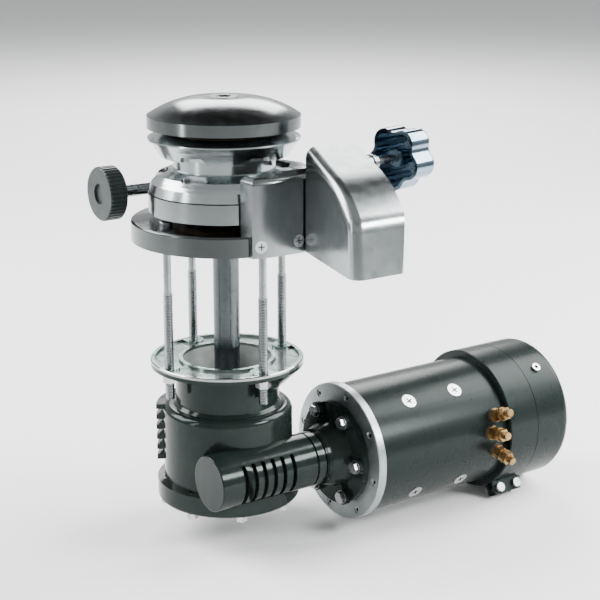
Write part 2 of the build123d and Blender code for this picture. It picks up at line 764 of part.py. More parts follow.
# bronze wheel with a shallow throat
with BuildPart() as worm_wheel:
    with BuildSketch(Plane.XY.offset(-229)):
        Circle(wheel_tip_r)
        with PolarLocations(wheel_tip_r, wheel_teeth):
            Rectangle(6, 2.6, mode=Mode.SUBTRACT)
        Circle(shaft_r, mode=Mode.SUBTRACT)
        with Locations((12.25, 0)):
            Rectangle(6.5, 8, mode=Mode.SUBTRACT)
    extrude(amount=wheel_w)
    for z in (-229, -209 - 4):
        with BuildSketch(Plane.XY.offset(z)):
            Circle(37)
            Circle(20, mode=Mode.SUBTRACT)
        extrude(amount=4, mode=Mode.SUBTRACT)
worm_wheel.part.label = "worm_wheel"
export_step(worm_wheel.part, "parts/worm_wheel.step")

with BuildPart() as bottom_cover:
    with BuildSketch(Plane.XZ):
        with BuildLine():
            Polyline((0, -260), (65.6, -260))
            ThreePointArc((65.6, -260), (68.64, -258.74), (cover_r, -255.7))
            Polyline(
                (cover_r, -255.7), (cover_r, gear_bot), (30, gear_bot), (30, -245), (23.5, -245),
                (23.5, -257.5), (0, -257.5), (0, -260)
            )
        make_face()
    revolve(axis=Axis.Z)
    with BuildSketch(Plane.XY.offset(gear_bot)):
        with PolarLocations(cover_bolt_r, 8, start_angle=24):
            Circle(3)
    extrude(amount=-cover_t, mode=Mode.SUBTRACT)
bottom_cover.part.label = "bottom_cover"
export_step(bottom_cover.part, "parts/bottom_cover.step")

with BuildPart() as cover_bolts:
    with BuildSketch(Plane.XY.offset(-260)):
        with PolarLocations(cover_bolt_r, 8, start_angle=24):
            RegularPolygon(5.6, 6)
    extrude(amount=-5)
    with BuildSketch(Plane.XY.offset(-260)):
        with PolarLocations(cover_bolt_r, 8, start_angle=24):
            Circle(3)
    extrude(amount=20)
cover_bolts.part.label = "cover_bolts"
export_step(cover_bolts.part, "parts/cover_bolts.step")

with BuildPart() as worm_end_cap:
    with BuildSketch(across(-57.7)):
        Circle(worm_house_r)
    extrude(amount=-3.1)
    fillet(worm_end_cap.edges().group_by(Axis.Y)[0], 1.2)
    with BuildSketch(across(-54.6)):
        Circle(16)
    extrude(amount=-4.4)
worm_end_cap.part.label = "worm_end_cap"
export_step(worm_end_cap.part, "parts/worm_end_cap.step")

# worm with its thread drawn as close rings, turned with its journals
with BuildPart() as worm_shaft:
    with BuildSketch(turn_plane):
        with BuildLine():
            Polyline(
                (0, -50), (7, -50), (7.5, -49.5), (7.5, -38), (9, -38), (9, 42), (7.5, 42), (7.5, 84),
                (12, 84), (12, 92), (0, 92), (0, -50)
            )
        make_face()
    revolve(axis=turn_axis)
    with BuildSketch(turn_plane):
        for i in range(9):
            y = -25.1 + 6.283 * i
            with BuildLine():
                Polyline((8.5, y - 2.2), (12.2, y - 0.9), (12.2, y + 0.9), (8.5, y + 2.2), (8.5, y - 2.2))
            make_face()
    revolve(axis=turn_axis)
worm_shaft.part.label = "worm_shaft"
export_step(worm_shaft.part, "parts/worm_shaft.step")

with BuildPart() as worm_bearings:
    for y in (-50, 43):
        with BuildSketch(across(y)):
            Circle(16)
            Circle(7.5 + run, mode=Mode.SUBTRACT)
        extrude(amount=-9)
worm_bearings.part.label = "worm_bearings"
export_step(worm_bearings.part, "parts/worm_bearings.step")

# ---------------------------------------------------------------- motor
# flared casting between the worm tunnel and the motor ring
with BuildPart() as motor_adapter:
    with BuildSketch(turn_plane):
        with BuildLine():
            Polyline(
                (16, 62), (27.8, 62), (27.8, 66), (31, 74), (34, 84), (51, 84), (51, 91), (16, 91), (16, 62)
            )
        make_face()
    revolve(axis=turn_axis)
    with BuildSketch(across(80)):
        with PolarLocations(44.5, 6):
            Circle(8)
            with Locations((-7, 0)):
                Rectangle(10, 9)
    extrude(amount=-5)
    with BuildSketch(across(80)):
        with PolarLocations(44.5, 6):
            Circle(3)
    extrude(amount=-12, mode=Mode.SUBTRACT)
motor_adapter.part.label = "motor_adapter"
export_step(motor_adapter.part, "parts/motor_adapter.step")

with BuildPart() as adapter_bolts:
    with BuildSketch(across(80)):
        with PolarLocations(44.5, 6):
            Circle(3)
    extrude(amount=-18)
    with BuildSketch(across(80)):
        with PolarLocations(44.5, 6):
            RegularPolygon(5.8, 6)
    extrude(amount=4.5)
    with BuildSketch(across(80)):
        with PolarLocations(44.5, 6):
            Circle(6.8)
    extrude(amount=0.9)
adapter_bolts.part.label = "adapter_bolts"
export_step(adapter_bolts.part, "parts/adapter_bolts.step")

with BuildPart() as motor_ring:
    with BuildSketch(across(91)):
        Circle(68.5)
        Circle(17, mode=Mode.SUBTRACT)
        with PolarLocations(44.5, 6):
            Circle(3, mode=Mode.SUBTRACT)
        with PolarLocations(60.5, 8, start_angle=32):
            Circle(2.5, mode=Mode.SUBTRACT)
    extrude(amount=-9)
    chamfer(motor_ring.edges().filter_by(GeomType.CIRCLE).filter_by(lambda e: e.radius > 60), 0.8)
    with BuildSketch(across(91)):
        with PolarLocations(60.5, 8, start_angle=32):
            Circle(4)
    extrude(amount=-4, mode=Mode.SUBTRACT)
motor_ring.part.label = "motor_ring"
export_step(motor_ring.part, "parts/motor_ring.step")

with BuildPart() as ring_screws:
    with BuildSketch(across(92)):
        with PolarLocations(60.5, 8, start_angle=32):
            Circle(4)
            RegularPolygon(2, 6, mode=Mode.SUBTRACT)
    extrude(amount=-3)
    with BuildSketch(across(93.6)):
        with PolarLocations(60.5, 8, start_angle=32):
            Circle(2.5)
    extrude(amount=-20)
ring_screws.part.label = "ring_screws"
export_step(ring_screws.part, "parts/ring_screws.step")

with BuildPart() as motor_tube:
    with BuildSketch(across(motor_y0)):
        Circle(motor_r)
        Circle(motor_bore, mode=Mode.SUBTRACT)
    extrude(amount=motor_y0 - motor_y1)
    with BuildSketch(across(motor_y0)):
        with PolarLocations(60.5, 8, start_angle=32):
            Circle(2.5)
    extrude(amount=-14, mode=Mode.SUBTRACT)
    for angle in pole_angles:
        for y in pole_rows:
            with BuildSketch(radial(angle, y, motor_r)):
                Circle(7.5)
            extrude(amount=-4, taper=40, mode=Mode.SUBTRACT)
            with BuildSketch(radial(angle, y, motor_r)):
                Circle(7.5)
            extrude(amount=3, mode=Mode.SUBTRACT)
            with BuildSketch(radial(angle, y, motor_r)):
                Circle(4)
            extrude(amount=-12, mode=Mode.SUBTRACT)
    for angle, y in terminals:
        with BuildSketch(radial(angle, y, 50)):
            Circle(6)
        extrude(amount=20, mode=Mode.SUBTRACT)
motor_tube.part.label = "motor_tube"
export_step(motor_tube.part, "parts/motor_tube.step")

with BuildPart() as pole_shoes:
    with BuildSketch(across(122)):
        Circle(motor_bore)
        Circle(44, mode=Mode.SUBTRACT)
        for angle in pole_angles:
            with Locations((51 * cos(radians(angle + 45)), 51 * sin(radians(angle + 45)))):
                Rectangle(30, 18, rotation=angle + 135, mode=Mode.SUBTRACT)
    extrude(amount=-111)
    for angle in pole_angles:
        for y in pole_rows:
            with BuildSketch(radial(angle, y, 70)):
                Circle(4)
            extrude(amount=-19, mode=Mode.SUBTRACT)
pole_shoes.part.label = "pole_shoes"
export_step(pole_shoes.part, "parts/pole_shoes.step")

with BuildPart() as pole_screws:
    for angle in pole_angles:
        for y in pole_rows:
            with BuildSketch(radial(angle, y, motor_r)):
                Circle(7.5)
            extrude(amount=-4, taper=40)
            with BuildSketch(radial(angle, y, motor_r)):
                Circle(7.5)
            extrude(amount=0.5)
            with BuildSketch(radial(angle, y, motor_r)):
                Circle(4)
            extrude(amount=-14)
            with BuildSketch(radial(angle, y, motor_r + 0.5)):
                Rectangle(7.5, 1.6, rotation=20)
                Rectangle(1.6, 7.5, rotation=20)
            extrude(amount=-2.4, mode=Mode.SUBTRACT)
pole_screws.part.label = "pole_screws"
export_step(pole_screws.part, "parts/pole_screws.step")

with BuildPart() as armature_shaft:
    with BuildSketch(turn_plane):
        with BuildLine():
            Polyline((0, 92), (12, 92), (12, 99), (8, 99), (8, 327), (7, 328), (0, 328), (0, 92))
        make_face()
    revolve(axis=turn_axis)
armature_shaft.part.label = "armature_shaft"
export_step(armature_shaft.part, "parts/armature_shaft.step")

# slotted core between two winding heads
with BuildPart() as armature:
    with BuildSketch(across(126)):
        Circle(43.3)
        with PolarLocations(41, 19):
            Rectangle(8, 5, mode=Mode.SUBTRACT)
        Circle(8, mode=Mode.SUBTRACT)
    extrude(amount=-103)
    for y in (114, 229):
        with BuildSketch(across(y)):
            Circle(36)
            Circle(8, mode=Mode.SUBTRACT)
        extrude(amount=-12)
armature.part.label = "armature"
export_step(armature.part, "parts/armature.step")

with BuildPart() as commutator:
    with BuildSketch(across(243)):
        Circle(22)
        with PolarLocations(22, 38):
            Rectangle(2, 0.8, mode=Mode.SUBTRACT)
        Circle(8, mode=Mode.SUBTRACT)
    extrude(amount=-22)
commutator.part.label = "commutator"
export_step(commutator.part, "parts/commutator.step")

with BuildPart() as brush_plate:
    with BuildSketch(across(267)):
        Circle(motor_bore)
        Circle(24, mode=Mode.SUBTRACT)
    extrude(amount=-4)
    with BuildSketch(across(248)):
        with PolarLocations(39, 4, start_angle=8):
            Rectangle(16, 18)
            Rectangle(16, 14, mode=Mode.SUBTRACT)
    extrude(amount=-19)
brush_plate.part.label = "brush_plate"
export_step(brush_plate.part, "parts/brush_plate.step")

with BuildPart() as brushes:
    with BuildSketch(across(250)):
        with PolarLocations(34.6, 4, start_angle=8):
            Rectangle(24, 14)
    extrude(amount=-12)
brushes.part.label = "brushes"
export_step(brushes.part, "parts/brushes.step")

with BuildPart() as terminal_studs:
    for angle, y in terminals:
        with BuildSketch(radial(angle, y, 53)):
            Circle(3.9)
        extrude(amount=39)
terminal_studs.part.label = "terminal_studs"
export_step(terminal_studs.part, "parts/terminal_studs.step")

with BuildPart() as terminal_insulators:
    for angle, y in terminals:
        with BuildSketch(radial(angle, y, 55)):
            Circle(6)
            Circle(3.9, mode=Mode.SUBTRACT)
        extrude(amount=13)
        with BuildSketch(radial(angle, y, motor_r)):
            Circle(7.4)
            Circle(3.9, mode=Mode.SUBTRACT)
        extrude(amount=2.9)
terminal_insulators.part.label = "terminal_insulators"
export_step(terminal_insulators.part, "parts/terminal_insulators.step")

with BuildPart() as terminal_nuts:
    for angle, y in terminals:
        for r in (68, 79):
            with BuildSketch(radial(angle, y, r)):
                Circle(7)
                Circle(3.9, mode=Mode.SUBTRACT)
            extrude(amount=1.4)
            with BuildSketch(radial(angle, y, r + 1.4)):
                RegularPolygon(6.7, 6)
                Circle(3.9, mode=Mode.SUBTRACT)
            extrude(amount=5.6)
terminal_nuts.part.label = "terminal_nuts"
export_step(terminal_nuts.part, "parts/terminal_nuts.step")

# sheet band over the brush windows, closed by two ears and clamp screws
with BuildPart() as cover_band:
    with BuildSketch(turn_plane):
        with BuildLine():
            Polyline(
                (motor_r, band_y0), (bell_r - 1, band_y0), (bell_r, band_y0 + 1), (bell_r, band_y1 - 0.6),
                (bell_r - 2, band_y1 - 0.6), (bell_r - 2, band_y0 + 2), (motor_r, band_y0 + 2),
                (motor_r, band_y0)
            )
        make_face()
    revolve(axis=turn_axis)
    with BuildSketch(across(band_y0 + 2)):
        for offset_y in (-5, 5):
            with PolarLocations(0, 1, start_angle=-58):
                with Locations((78, offset_y)):
                    Rectangle(15, 3)
    extrude(amount=-34)
    for y in (264, 286):
        ear = Plane(
            origin=(worm_x + 79.5 * cos(radians(-58)), y, worm_z + 79.5 * sin(radians(-58))),
            x_dir=(0, 1, 0),
            z_dir=(-sin(radians(-58)), 0, cos(radians(-58))),
        )
        with BuildSketch(ear):
            Circle(2.5)
        extrude(amount=12, both=True, mode=Mode.SUBTRACT)
cover_band.part.label = "cover_band"
export_step(cover_band.part, "parts/cover_band.step")

with BuildPart() as clamp_screws:
    for y in (264, 286):
        ear = Plane(
            origin=(worm_x + 79.5 * cos(radians(-58)), y, worm_z + 79.5 * sin(radians(-58))),
            x_dir=(0, 1, 0),
            z_dir=(-sin(radians(-58)), 0, cos(radians(-58))),
        )
        with BuildSketch(ear):
            Circle(2.5)
        extrude(amount=11, both=True)
        with BuildSketch(ear.offset(6.5)):
            Circle(4.6)
            RegularPolygon(2.2, 6, mode=Mode.SUBTRACT)
        extrude(amount=4.5)
        with BuildSketch(ear.offset(-6.5)):
            RegularPolygon(4.9, 6)
        extrude(amount=-3.5)
clamp_screws.part.label = "clamp_screws"
export_step(clamp_screws.part, "parts/clamp_screws.step")

with BuildPart() as end_bell:
    with BuildSketch(turn_plane):
        with BuildLine():
            Polyline(
                (17.5, 318), (17.5, 329), (0, 329), (0, bell_end), (bell_r - 9, bell_end)
            )
            ThreePointArc(
                (bell_r - 9, bell_end), (bell_r - 2.64, bell_end - 2.64), (bell_r, bell_end - 9)
            )
            Polyline(
                (bell_r, bell_end - 9), (bell_r, band_y1), (motor_bore, band_y1), (motor_bore, 322),
                (50, 330), (22, 330), (22, 318), (17.5, 318)
            )
        make_face()
    revolve(axis=turn_axis)
    for angle in (52, 172, 292):
        with BuildSketch(radial(angle, 311.5, bell_r)):
            Circle(2.5)
        extrude(amount=-8, mode=Mode.SUBTRACT)
end_bell.part.label = "end_bell"
export_step(end_bell.part, "parts/end_bell.step")

with BuildPart() as bell_screws:
    for angle in (52, 172, 292):
        with BuildSketch(radial(angle, 311.5, bell_r + 0.2)):
            Circle(4.6)
            RegularPolygon(2.2, 6, mode=Mode.SUBTRACT)
        extrude(amount=2.2)
        with BuildSketch(radial(angle, 311.5, bell_r - 7)):
            Circle(2.5)
        extrude(amount=7.2)
bell_screws.part.label = "bell_screws"
export_step(bell_screws.part, "parts/bell_screws.step")

with BuildPart() as rear_bearing:
    with BuildSketch(across(318)):
        Circle(17.5)
        Circle(8 + run, mode=Mode.SUBTRACT)
    extrude(amount=-10)
rear_bearing.part.label = "rear_bearing"
export_step(rear_bearing.part, "parts/rear_bearing.step")
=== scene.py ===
# %% [markdown]
# # Anchor windlass
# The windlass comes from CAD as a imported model. Every piece already has its true shape and place, so this
# lesson gives it finishes, screw threads, a floor, light and a camera.
# Lengths here are metres: +Z is up, +X points to the chain hood, +Y runs along the motor.

# %% Load the frame
import math

import bpy
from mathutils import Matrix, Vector


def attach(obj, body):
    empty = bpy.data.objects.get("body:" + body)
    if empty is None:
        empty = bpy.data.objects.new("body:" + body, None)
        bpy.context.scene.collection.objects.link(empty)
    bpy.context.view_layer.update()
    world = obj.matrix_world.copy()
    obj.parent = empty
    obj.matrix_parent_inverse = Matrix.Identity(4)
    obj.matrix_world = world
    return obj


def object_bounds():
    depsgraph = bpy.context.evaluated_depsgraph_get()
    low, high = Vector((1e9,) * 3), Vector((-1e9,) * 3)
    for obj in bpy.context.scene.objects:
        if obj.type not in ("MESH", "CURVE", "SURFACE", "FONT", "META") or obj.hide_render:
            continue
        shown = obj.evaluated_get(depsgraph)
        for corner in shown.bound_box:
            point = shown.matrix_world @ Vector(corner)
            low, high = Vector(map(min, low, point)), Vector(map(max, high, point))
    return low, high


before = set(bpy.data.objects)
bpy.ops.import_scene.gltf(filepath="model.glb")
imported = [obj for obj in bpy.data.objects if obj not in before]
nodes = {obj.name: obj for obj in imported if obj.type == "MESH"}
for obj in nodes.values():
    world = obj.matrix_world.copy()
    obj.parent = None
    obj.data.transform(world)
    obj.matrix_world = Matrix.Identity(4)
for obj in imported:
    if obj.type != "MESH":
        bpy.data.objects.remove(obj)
cad_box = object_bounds()
print("pieces from CAD:", len(nodes), "box:", [[round(v, 4) for v in corner] for corner in cad_box])

# %% [markdown]
# ## Camera
# A long lens from a few paces away keeps the upright shaft and the round motor nearly free of
# perspective. Aiming by a direction vector is simpler than three rotation angles.

# %% Camera
camera_data = bpy.data.cameras.new("studio_camera")
camera_data.lens = 88.33
camera_data.sensor_width = 36.0
camera_data.clip_end = 50.0
camera = bpy.data.objects.new("studio_camera", camera_data)
bpy.context.collection.objects.link(camera)
camera.location = (1.1591, -0.7136, 0.3186)
looking = Vector((-0.7926, 0.5466, -0.2702))
camera.rotation_euler = looking.to_track_quat("-Z", "Y").to_euler()
bpy.context.scene.camera = camera
print("camera looks along", tuple(round(v, 3) for v in looking))

# %% [markdown]
# ## Floor and light
# The windlass hangs in a deck in real use. Here the floor lies just under the motor's clamp screws. It is
# pale and matt, so it takes a soft shadow and sends a little light back up.

# %% Floor
floor_z = cad_box[0][2] - 0.001
bpy.ops.mesh.primitive_plane_add(size=14, location=(0, 0, floor_z))
floor = bpy.context.object
floor.name = "studio_floor"
floor_finish = bpy.data.materials.new("pale_floor")
floor_finish.use_nodes = True
floor_shader = floor_finish.node_tree.nodes["Principled BSDF"]
floor_shader.inputs["Base Color"].default_value = (0.93, 0.93, 0.93, 1)
floor_shader.inputs["Roughness"].default_value = 0.85
floor.data.materials.append(floor_finish)
print("floor height", round(floor_z, 4))

# %% [markdown]
# Bright metal has no colour of its own: it shows the room. The world is pale, with a dark soft patch high
# behind the windlass, as if a curtain hung there. The patch shows in the front of the cap and gives the
# turned faces their contrast. The camera itself sees plain white.

# %% World
world = bpy.data.worlds.new("studio_world")
bpy.context.scene.world = world
world.use_nodes = True
sky = world.node_tree
sky.nodes.clear()
coords = sky.nodes.new("ShaderNodeTexCoord")
split = sky.nodes.new("ShaderNodeSeparateXYZ")
lift = sky.nodes.new("ShaderNodeMapRange")
lift.inputs["From Min"].default_value = -1.0
ramp = sky.nodes.new("ShaderNodeValToRGB")
bands = [(0.0, 0.55), (0.48, 0.30), (0.53, 0.95), (0.66, 1.0), (0.80, 0.55), (1.0, 0.8)]
ramp.color_ramp.elements[0].position = bands[0][0]
ramp.color_ramp.elements[1].position = bands[-1][0]
for place, _ in bands[1:-1]:
    ramp.color_ramp.elements.new(place)
for stop, (_, grey) in zip(ramp.color_ramp.elements, bands):
    stop.color = (grey * 0.97, grey, grey, 1)
curtain_side = (-0.472, 0.326, 0.819)  # a unit vector, 55 degrees up behind the windlass
toward = sky.nodes.new("ShaderNodeVectorMath")
toward.operation = "DOT_PRODUCT"
toward.inputs[1].default_value = curtain_side
curtain = sky.nodes.new("ShaderNodeMapRange")
for key, number in (("From Min", 0.80), ("From Max", 0.95), ("To Min", 1.0), ("To Max", 0.06)):
    curtain.inputs[key].default_value = number
shaded = sky.nodes.new("ShaderNodeVectorMath")
shaded.operation = "SCALE"
room = sky.nodes.new("ShaderNodeBackground")
room.inputs["Strength"].default_value = 0.85
white = sky.nodes.new("ShaderNodeBackground")
white.inputs["Color"].default_value = (1, 1, 1, 1)
white.inputs["Strength"].default_value = 1.0
path = sky.nodes.new("ShaderNodeLightPath")
pick = sky.nodes.new("ShaderNodeMixShader")
out = sky.nodes.new("ShaderNodeOutputWorld")
sky.links.new(coords.outputs["Generated"], split.inputs[0])
sky.links.new(split.outputs["Z"], lift.inputs["Value"])
sky.links.new(lift.outputs[0], ramp.inputs[0])
sky.links.new(coords.outputs["Generated"], toward.inputs[0])
sky.links.new(toward.outputs["Value"], curtain.inputs["Value"])
sky.links.new(ramp.outputs["Color"], shaded.inputs[0])
sky.links.new(curtain.outputs[0], shaded.inputs["Scale"])
sky.links.new(shaded.outputs["Vector"], room.inputs["Color"])
sky.links.new(path.outputs["Is Camera Ray"], pick.inputs[0])
sky.links.new(room.outputs[0], pick.inputs[1])
sky.links.new(white.outputs[0], pick.inputs[2])
sky.links.new(pick.outputs[0], out.inputs[0])
print("world bands:", len(bands))


# %% [markdown]
# Two wide lamps stand to the sides, so no highlight falls on the dark front of the cap. One lights the floor
# far behind, one makes the bright patch that the hood's front shows, and a narrow one draws a thin streak
# down the turned rims. Area lamps are used because their size sets how soft a highlight is.

# %% Studio lamps
def soft_lamp(name, place, aim, size, watts):
    """An area lamp at a place, turned towards a point."""
    data = bpy.data.lights.new(name, "AREA")
    data.shape = "RECTANGLE"
    data.size, data.size_y = size
    data.energy = watts
    lamp = bpy.data.objects.new(name, data)
    bpy.context.collection.objects.link(lamp)
    lamp.location = place
    lamp.rotation_euler = (Vector(aim) - Vector(place)).to_track_quat("-Z", "Y").to_euler()
    return lamp


soft_lamp("left_lamp", (-1.1, -0.9, 0.9), (-0.5, 0.2, -0.3), (1.1, 1.1), 62)
soft_lamp("right_lamp", (0.3, 1.5, 0.9), (-0.3, 0.5, -0.3), (1.1, 1.1), 62)
soft_lamp("far_lamp", (-2.3, 1.6, 1.5), (-1.7, 1.2, -0.3), (1.6, 1.6), 95)
soft_lamp("hood_lamp", (1.1, 0.75, 0.5), (0.9, 0.6, -0.3), (0.5, 0.5), 34)
soft_lamp("strip_lamp", (-0.1, -1.3, 0.35), (0, 0, -0.1), (0.12, 1.1), 5)

# %% [markdown]
# ## A kit for finishes
# Each finish is a Principled shader with a little unevenness in colour, in roughness and in height. It
# comes from noise in object space, in metres, so grain keeps its real size on every piece. Turned pieces
# add rings to their height.


# %% Finish helpers
class Finish:
    """A material under construction, with short ways to add and join nodes."""

    def __init__(self, name, colour, metal, rough):
        self.material = bpy.data.materials.new(name)
        self.material.use_nodes = True
        self.tree = self.material.node_tree
        self.shader = self.tree.nodes["Principled BSDF"]
        self.shader.inputs["Base Color"].default_value = (*colour, 1)
        self.shader.inputs["Metallic"].default_value = metal
        self.shader.inputs["Roughness"].default_value = rough
        self.colour = colour
        self.where = self.add("ShaderNodeTexCoord").outputs["Object"]
        self.height = None

    def add(self, kind, **values):
        """A node with some input values set by name."""
        node = self.tree.nodes.new(kind)
        for key, value in values.items():
            node.inputs[key].default_value = value
        return node

    def join(self, source, target):
        """A link from an output socket to an input socket."""
        self.tree.links.new(source, target)

    def stretched(self, scale, origin=(0, 0, 0)):
        """Object coordinates about an origin, scaled per axis."""
        mapping = self.add("ShaderNodeMapping")
        mapping.inputs["Location"].default_value = tuple(-o * s for o, s in zip(origin, scale))
        mapping.inputs["Scale"].default_value = scale
        self.join(self.where, mapping.inputs["Vector"])
        return mapping.outputs["Vector"]

    def noise(self, scale, detail=3.0, where=None):
        """Smooth noise from 0 to 1; the scale is in bumps per metre."""
        node = self.add("ShaderNodeTexNoise", Scale=scale, Detail=detail)
        self.join(where or self.where, node.inputs["Vector"])
        return node.outputs["Fac"]

    def remap(self, value, low, high, start=0.3, stop=0.7):
        """Stretches start..stop of a value to low..high."""
        node = self.add("ShaderNodeMapRange")
        for key, number in (("From Min", start), ("From Max", stop), ("To Min", low), ("To Max", high)):
            node.inputs[key].default_value = number
        self.join(value, node.inputs["Value"])
        return node.outputs[0]

    def maths(self, operation, first, second=None):
        """A sum or other operation on sockets or plain numbers."""
        node = self.tree.nodes.new("ShaderNodeMath")
        node.operation = operation
        for slot, value in enumerate((first, second)):
            if value is None:
                continue
            if isinstance(value, (int, float)):
                node.inputs[slot].default_value = value
            else:
                self.join(value, node.inputs[slot])
        return node.outputs[0]

    def blend(self, factor, first, second):
        """Mixes two colours; each is a tuple or a socket."""
        node = self.tree.nodes.new("ShaderNodeMix")
        node.data_type = "RGBA"
        self.join(factor, node.inputs["Factor"])
        for socket, value in ((node.inputs[6], first), (node.inputs[7], second)):
            if isinstance(value, tuple):
                socket.default_value = (*value[:3], 1)
            else:
                self.join(value, socket)
        return node.outputs[2]

    def bump(self, value, depth):
        """Height detail of a real depth in metres; calls stack."""
        node = self.add("ShaderNodeBump", Strength=1.0, Distance=depth)
        self.join(value, node.inputs["Height"])
        if self.height:
            self.join(self.height, node.inputs["Normal"])
        self.height = node.outputs["Normal"]
        self.join(self.height, self.shader.inputs["Normal"])

    def uneven(self, shade, patch_scale, rough_low, rough_high, fine_scale):
        """Soft patches of colour and fine patches of roughness."""
        patches = self.remap(self.noise(patch_scale, 5.0), 0.0, 1.0)
        self.tint = self.blend(patches, shade, self.colour)
        self.join(self.tint, self.shader.inputs["Base Color"])
        fine = self.remap(self.noise(fine_scale, 4.0), rough_low, rough_high)
        self.join(fine, self.shader.inputs["Roughness"])

    def paint_recess_shade(self, reach, dark, start=0.35, stop=0.85):
        """Painted shade: darkens the colour of corners and recesses narrower than a reach in metres."""
        node = self.add("ShaderNodeAmbientOcclusion", Distance=reach)
        node.samples = 8
        node.only_local = True
        open_air = self.remap(node.outputs["AO"], 0.0, 1.0, start, stop)
        self.tint = self.blend(open_air, dark, self.tint)
        self.join(self.tint, self.shader.inputs["Base Color"])

    def coat(self, specular, weight, rough):
        """Strength of the paint's own shine, greenish, and of a clear coat over it."""
        self.shader.inputs["Specular Tint"].default_value = (0.82, 1.0, 0.95, 1)
        self.shader.inputs["Specular IOR Level"].default_value = specular
        self.shader.inputs["Coat Weight"].default_value = weight
        self.shader.inputs["Coat Roughness"].default_value = rough


def radius_from(finish, axis, centre):
    """Distance from an upright (Z) or lengthwise (Y) line through a centre point."""
    keep = [0.0 if letter == axis else 1.0 for letter in "XYZ"]
    node = finish.tree.nodes.new("ShaderNodeVectorMath")
    node.operation = "LENGTH"
    finish.join(finish.stretched(keep, centre), node.inputs[0])
    return node.outputs["Value"]


def dress(names, finish):
    """Gives CAD pieces a finish through their material slots."""
    for name in names:
        for slot in nodes[name].material_slots:
            slot.material = finish.material
    print(finish.material.name, "->", ", ".join(names))


motor_line = (0.05816, 0.0, -0.2191)
shaft_line = (0.0, 0.0, 0.0)

# %% [markdown]
# ## Polished deck metal
# The deck unit is taken to be cast alloy, turned and then polished. A lathe leaves fine rings. A ring texture
# would need its own mapping on each piece, so a sine of the distance from the shaft is used instead. Each
# piece's brightness is a setting, tuned over several renders for this light: least on the base, most on the
# gypsy. They are lit and shaded copies of one metal, so the differences are painted light and shade, not
# different metals.

# %% Turned pieces
def metal_grey(level):
    """Bare metal's colour, a touch cooler than neutral."""
    return (level, level * 1.09, level * 1.1)


def lathe_polish(name, level, pieces):
    """Polished metal with lathe rings round the shaft; level is its painted brightness, a lit or shaded copy
    of one metal.
    """
    turned = Finish(name, metal_grey(level), 1.0, 0.17)
    turned.uneven(metal_grey(level * 0.72), 14.0, 0.15, 0.22, 120.0)
    # painted shade: corners and recesses darkened towards near black
    turned.paint_recess_shade(0.006, metal_grey(0.05))
    rings = turned.maths("SINE", turned.maths("MULTIPLY", radius_from(turned, "Z", shaft_line), 9000.0))
    turned.bump(rings, 0.0000025)
    turned.bump(turned.noise(900.0, 2.0), 0.0000015)
    dress(pieces, turned)


# painted light and shade: four copies of one polished metal at different brightness
lathe_polish("base_polish", 0.09, ["deck_base"])
lathe_polish("cap_polish", 0.185, ["clutch_cap"])
lathe_polish("band_polish", 0.24, ["brake_band"])
lathe_polish("gypsy_polish", 0.48, ["gypsy_lower", "gypsy_neck", "gypsy_upper"])

# %% [markdown]
# The guard and hood get a belt polish by hand, so their scratches run one way. Noise stretched
# along X gives them, and a slow wave in height keeps the flat sides from looking like glass.


# %% Belt-polished castings
def belt_polish(name, level, pieces):
    """Hand polish: scratches that run along X, over a slightly wavy casting."""
    belt = Finish(name, metal_grey(level), 1.0, 0.22)
    belt.uneven(metal_grey(level * 0.78), 11.0, 0.19, 0.27, 90.0)
    # painted shade: corners and recesses darkened towards near black
    belt.paint_recess_shade(0.005, metal_grey(0.06))
    belt.bump(belt.noise(1.0, 4.0, belt.stretched((160.0, 1500.0, 1500.0))), 0.000002)
    belt.bump(belt.noise(22.0, 1.0), 0.00012)
    dress(pieces, belt)


belt_polish("hood_polish", 0.29, ["chain_hood"])
belt_polish("guard_polish", 0.205, ["chain_block", "chain_stripper", "brake_lugs", "brake_anchor"])

# %% [markdown]
# ## Bar stock and small steel
# Studs, pins and the brake rod are drawn bar, and their grain runs along them. Noise squeezed across the
# bar and stretched along Z makes that grain without any image.

# %% Drawn stainless bar
drawn = Finish("drawn_stainless", (0.25, 0.27, 0.28), 1.0, 0.24)
drawn.uneven((0.19, 0.205, 0.21), 30.0, 0.2, 0.3, 160.0)
drawn.bump(drawn.noise(1.0, 3.0, drawn.stretched((1800.0, 1800.0, 40.0))), 0.0000025)
dress(["deck_studs", "brake_screw", "brake_collar", "hood_bracket", "hood_hinge_pins",
       "star_knob_spindle", "star_knob_washer", "cap_socket"], drawn)

# %% [markdown]
# The main shaft is the same kind of bar. Its colour is a darker copy of the studs', tuned for this light, so
# its darkness is painted shade.

# %% Main shaft
# painted shade: a darker copy of the drawn stainless bar
shaded_shaft_bar = Finish("shaded_shaft_bar", (0.085, 0.095, 0.10), 1.0, 0.24)
shaded_shaft_bar.uneven((0.06, 0.07, 0.075), 22.0, 0.2, 0.3, 120.0)
shaded_shaft_bar.bump(shaded_shaft_bar.noise(1.0, 3.0, shaded_shaft_bar.stretched((1800.0, 1800.0, 40.0))), 0.0000025)
dress(["main_shaft"], shaded_shaft_bar)

# %% [markdown]
# The CAD studs are plain cylinders. Bump alone would leave their outline smooth, so a thin helical ridge,
# half a millimetre proud, is wound round each in mesh code: three points per step make a closed three-sided
# strip. The thread starts two fifths of the way down a stud and runs to the flange, and again under the nut.


